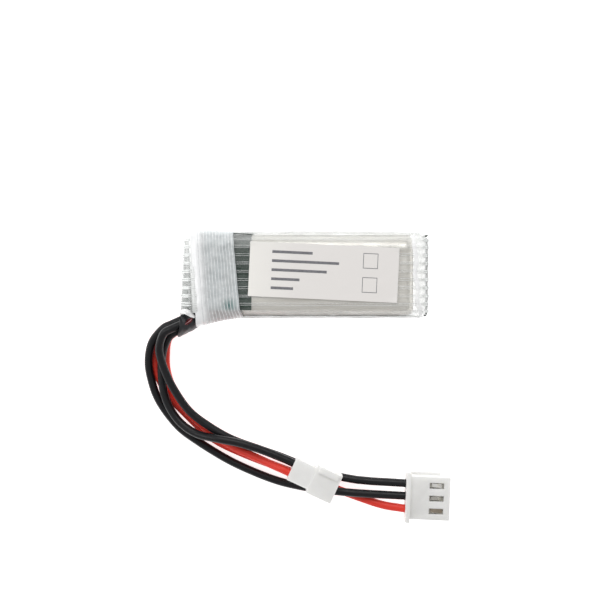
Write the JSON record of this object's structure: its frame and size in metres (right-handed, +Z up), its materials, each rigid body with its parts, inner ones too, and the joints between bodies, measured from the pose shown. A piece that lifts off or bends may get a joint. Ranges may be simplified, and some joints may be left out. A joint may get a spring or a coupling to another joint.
{
  "type": "lithium polymer battery pack",
  "caption": "Small soft-pouch battery pack in fibre-reinforced tape, with silicone leads to a two-way power plug and a three-way balance plug.",
  "frame": {"origin": "middle of the pack's underside, on the lengthwise tape", "axes": "+X along the pack away from the leads' end, +Y across the pack away from the plugs, +Z up out of the label"},
  "size_m": [0.0604, 0.0565, 0.0135],
  "materials": {
    "pouch_laminate": "satin foil laminate",
    "cathode_coat": "matt",
    "anode_coat": "matt",
    "separator_film": "matt film",
    "seal_film": "satin film",
    "tab_aluminium": "satin",
    "tab_nickel": "satin",
    "adhesive_pad": "matt",
    "solder": "satin",
    "insulating_paper": "dark green, lightly glazed",
    "clear_tape": "clear film with lengthwise fibres",
    "banding_tape": "cloudy clear film with crosswise fibres",
    "label_paper": "satin",
    "shrink_sleeve": "satin",
    "silicone_black": "satin",
    "silicone_red": "satin",
    "copper": "bright tinned copper strands",
    "nylon_white": "moulded, satin",
    "tinned_contact": "bright tin"
  },
  "bodies": {
    "pack": {"lower_pouch_cup": "pouch_laminate", "lower_pouch_lid": "pouch_laminate", "lower_cathode": "cathode_coat", "lower_anode": "anode_coat", "lower_separator": "separator_film", "lower_tab_seal": "seal_film", "lower_positive_tab": "tab_aluminium", "lower_negative_tab": "tab_nickel", "upper_pouch_cup": "pouch_laminate", "upper_pouch_lid": "pouch_laminate", "upper_cathode": "cathode_coat", "upper_anode": "anode_coat", "upper_separator": "separator_film", "upper_tab_seal": "seal_film", "upper_positive_tab": "tab_aluminium", "upper_negative_tab": "tab_nickel", "cell_pad": "adhesive_pad", "series_link": "tab_nickel", "positive_solder": "solder", "negative_solder": "solder", "midpoint_solder": "solder", "terminal_paper": "insulating_paper", "far_end_paper": "insulating_paper", "lengthwise_tape": "clear_tape", "cross_band": "banding_tape", "label": "label_paper", "exit_sleeve": "shrink_sleeve", "main_positive_root": "silicone_red", "main_negative_root": "silicone_black", "balance_positive_root": "silicone_red", "balance_midpoint_root": "silicone_black", "balance_negative_root": "silicone_black", "root_strands": "copper"},
    "leads": {"main_positive_lead": "silicone_red", "main_negative_lead": "silicone_black", "balance_positive_lead": "silicone_red", "balance_midpoint_lead": "silicone_black", "balance_negative_lead": "silicone_black", "lead_strands": "copper"},
    "main_plug": {"main_positive_tail": "silicone_red", "main_negative_tail": "silicone_black", "main_tail_strands": "copper", "main_plug_housing": "nylon_white", "main_plug_contacts": "tinned_contact"},
    "balance_plug": {"balance_positive_tail": "silicone_red", "balance_midpoint_tail": "silicone_black", "balance_negative_tail": "silicone_black", "balance_tail_strands": "copper", "balance_plug_housing": "nylon_white", "balance_plug_contacts": "tinned_contact"}
  },
  "joints": [
    {"name": "leads_swing", "type": "hinge", "parent": "pack", "child": "leads", "pos_m": [-0.02498, -0.00992, 0.00525], "axis": [0, 0, 1], "range_deg": [-40, 30]},
    {"name": "main_plug_lift", "type": "hinge", "parent": "leads", "child": "main_plug", "pos_m": [-0.00336, -0.03708, 0.0058], "axis": [-0.4226, -0.9063, 0], "range_deg": [0, 50]},
    {"name": "balance_plug_lift", "type": "hinge", "parent": "leads", "child": "balance_plug", "pos_m": [0.012, -0.0431, 0.00195], "axis": [-0.0436, -0.999, 0], "range_deg": [-15, 45]}
  ]
}
